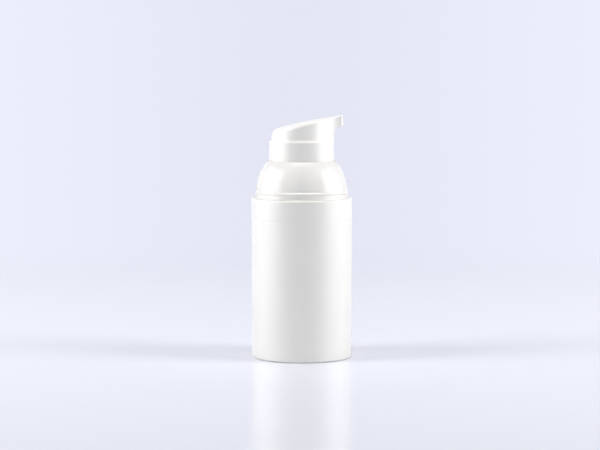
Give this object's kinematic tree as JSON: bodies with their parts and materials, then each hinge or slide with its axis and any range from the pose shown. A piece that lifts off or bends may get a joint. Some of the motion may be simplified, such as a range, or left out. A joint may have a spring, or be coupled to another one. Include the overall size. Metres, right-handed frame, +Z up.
{
  "type": "airless pump bottle",
  "caption": "White airless pump bottle with a domed collar, a slanted press head with a side spout, and a piston that rises inside.",
  "frame": {"origin": "on the bottle's axis, in the plane that the foot ring stands on", "axes": "+Z up along the bottle's axis, +X towards the spout at rest, +Y to the left of the spout"},
  "size_m": [0.035, 0.035, 0.0841],
  "materials": {
    "bottle_pp": "satin",
    "collar_pp": "gloss",
    "head_pp": "gloss",
    "pump_pp": "natural moulded",
    "follower_pe": "waxy",
    "piston_pe": "waxy",
    "gasket_foam": "soft matte",
    "spring_steel": "drawn wire",
    "ball_steel": "polished"
  },
  "bodies": {
    "container": {"bottle_body": "bottle_pp", "mouth_gasket": "gasket_foam", "pump_housing": "pump_pp", "guide_ring": "pump_pp", "shoulder_collar": "collar_pp", "return_spring": "spring_steel"},
    "stem_unit": {"stem": "pump_pp", "piston_rod": "pump_pp"},
    "head": {"actuator": "head_pp"},
    "dosing_piston": {"pump_piston": "piston_pe"},
    "follower": {"follower_piston": "follower_pe"},
    "inlet_valve": {"inlet_ball": "ball_steel"}
  },
  "joints": [
    {"name": "pump_stroke", "type": "slide", "parent": "container", "child": "stem_unit", "axis": [0, 0, -1], "range_m": [0, 0.0045], "stiffness_N_per_m": 1200, "springref_m": -0.004, "deforming": ["return_spring"]},
    {"name": "head_turn", "type": "hinge", "parent": "stem_unit", "child": "head", "pos_m": [0, 0, 0.075], "axis": [0, 0, 1], "continuous": true},
    {"name": "piston_port", "type": "slide", "parent": "stem_unit", "child": "dosing_piston", "axis": [0, 0, 1], "range_m": [0, 0.0008]},
    {"name": "follower_rise", "type": "slide", "parent": "container", "child": "follower", "axis": [0, 0, 1], "range_m": [0, 0.0376]},
    {"name": "inlet_lift", "type": "slide", "parent": "container", "child": "inlet_valve", "axis": [0, 0, 1], "range_m": [0, 0.0009]}
  ]
}
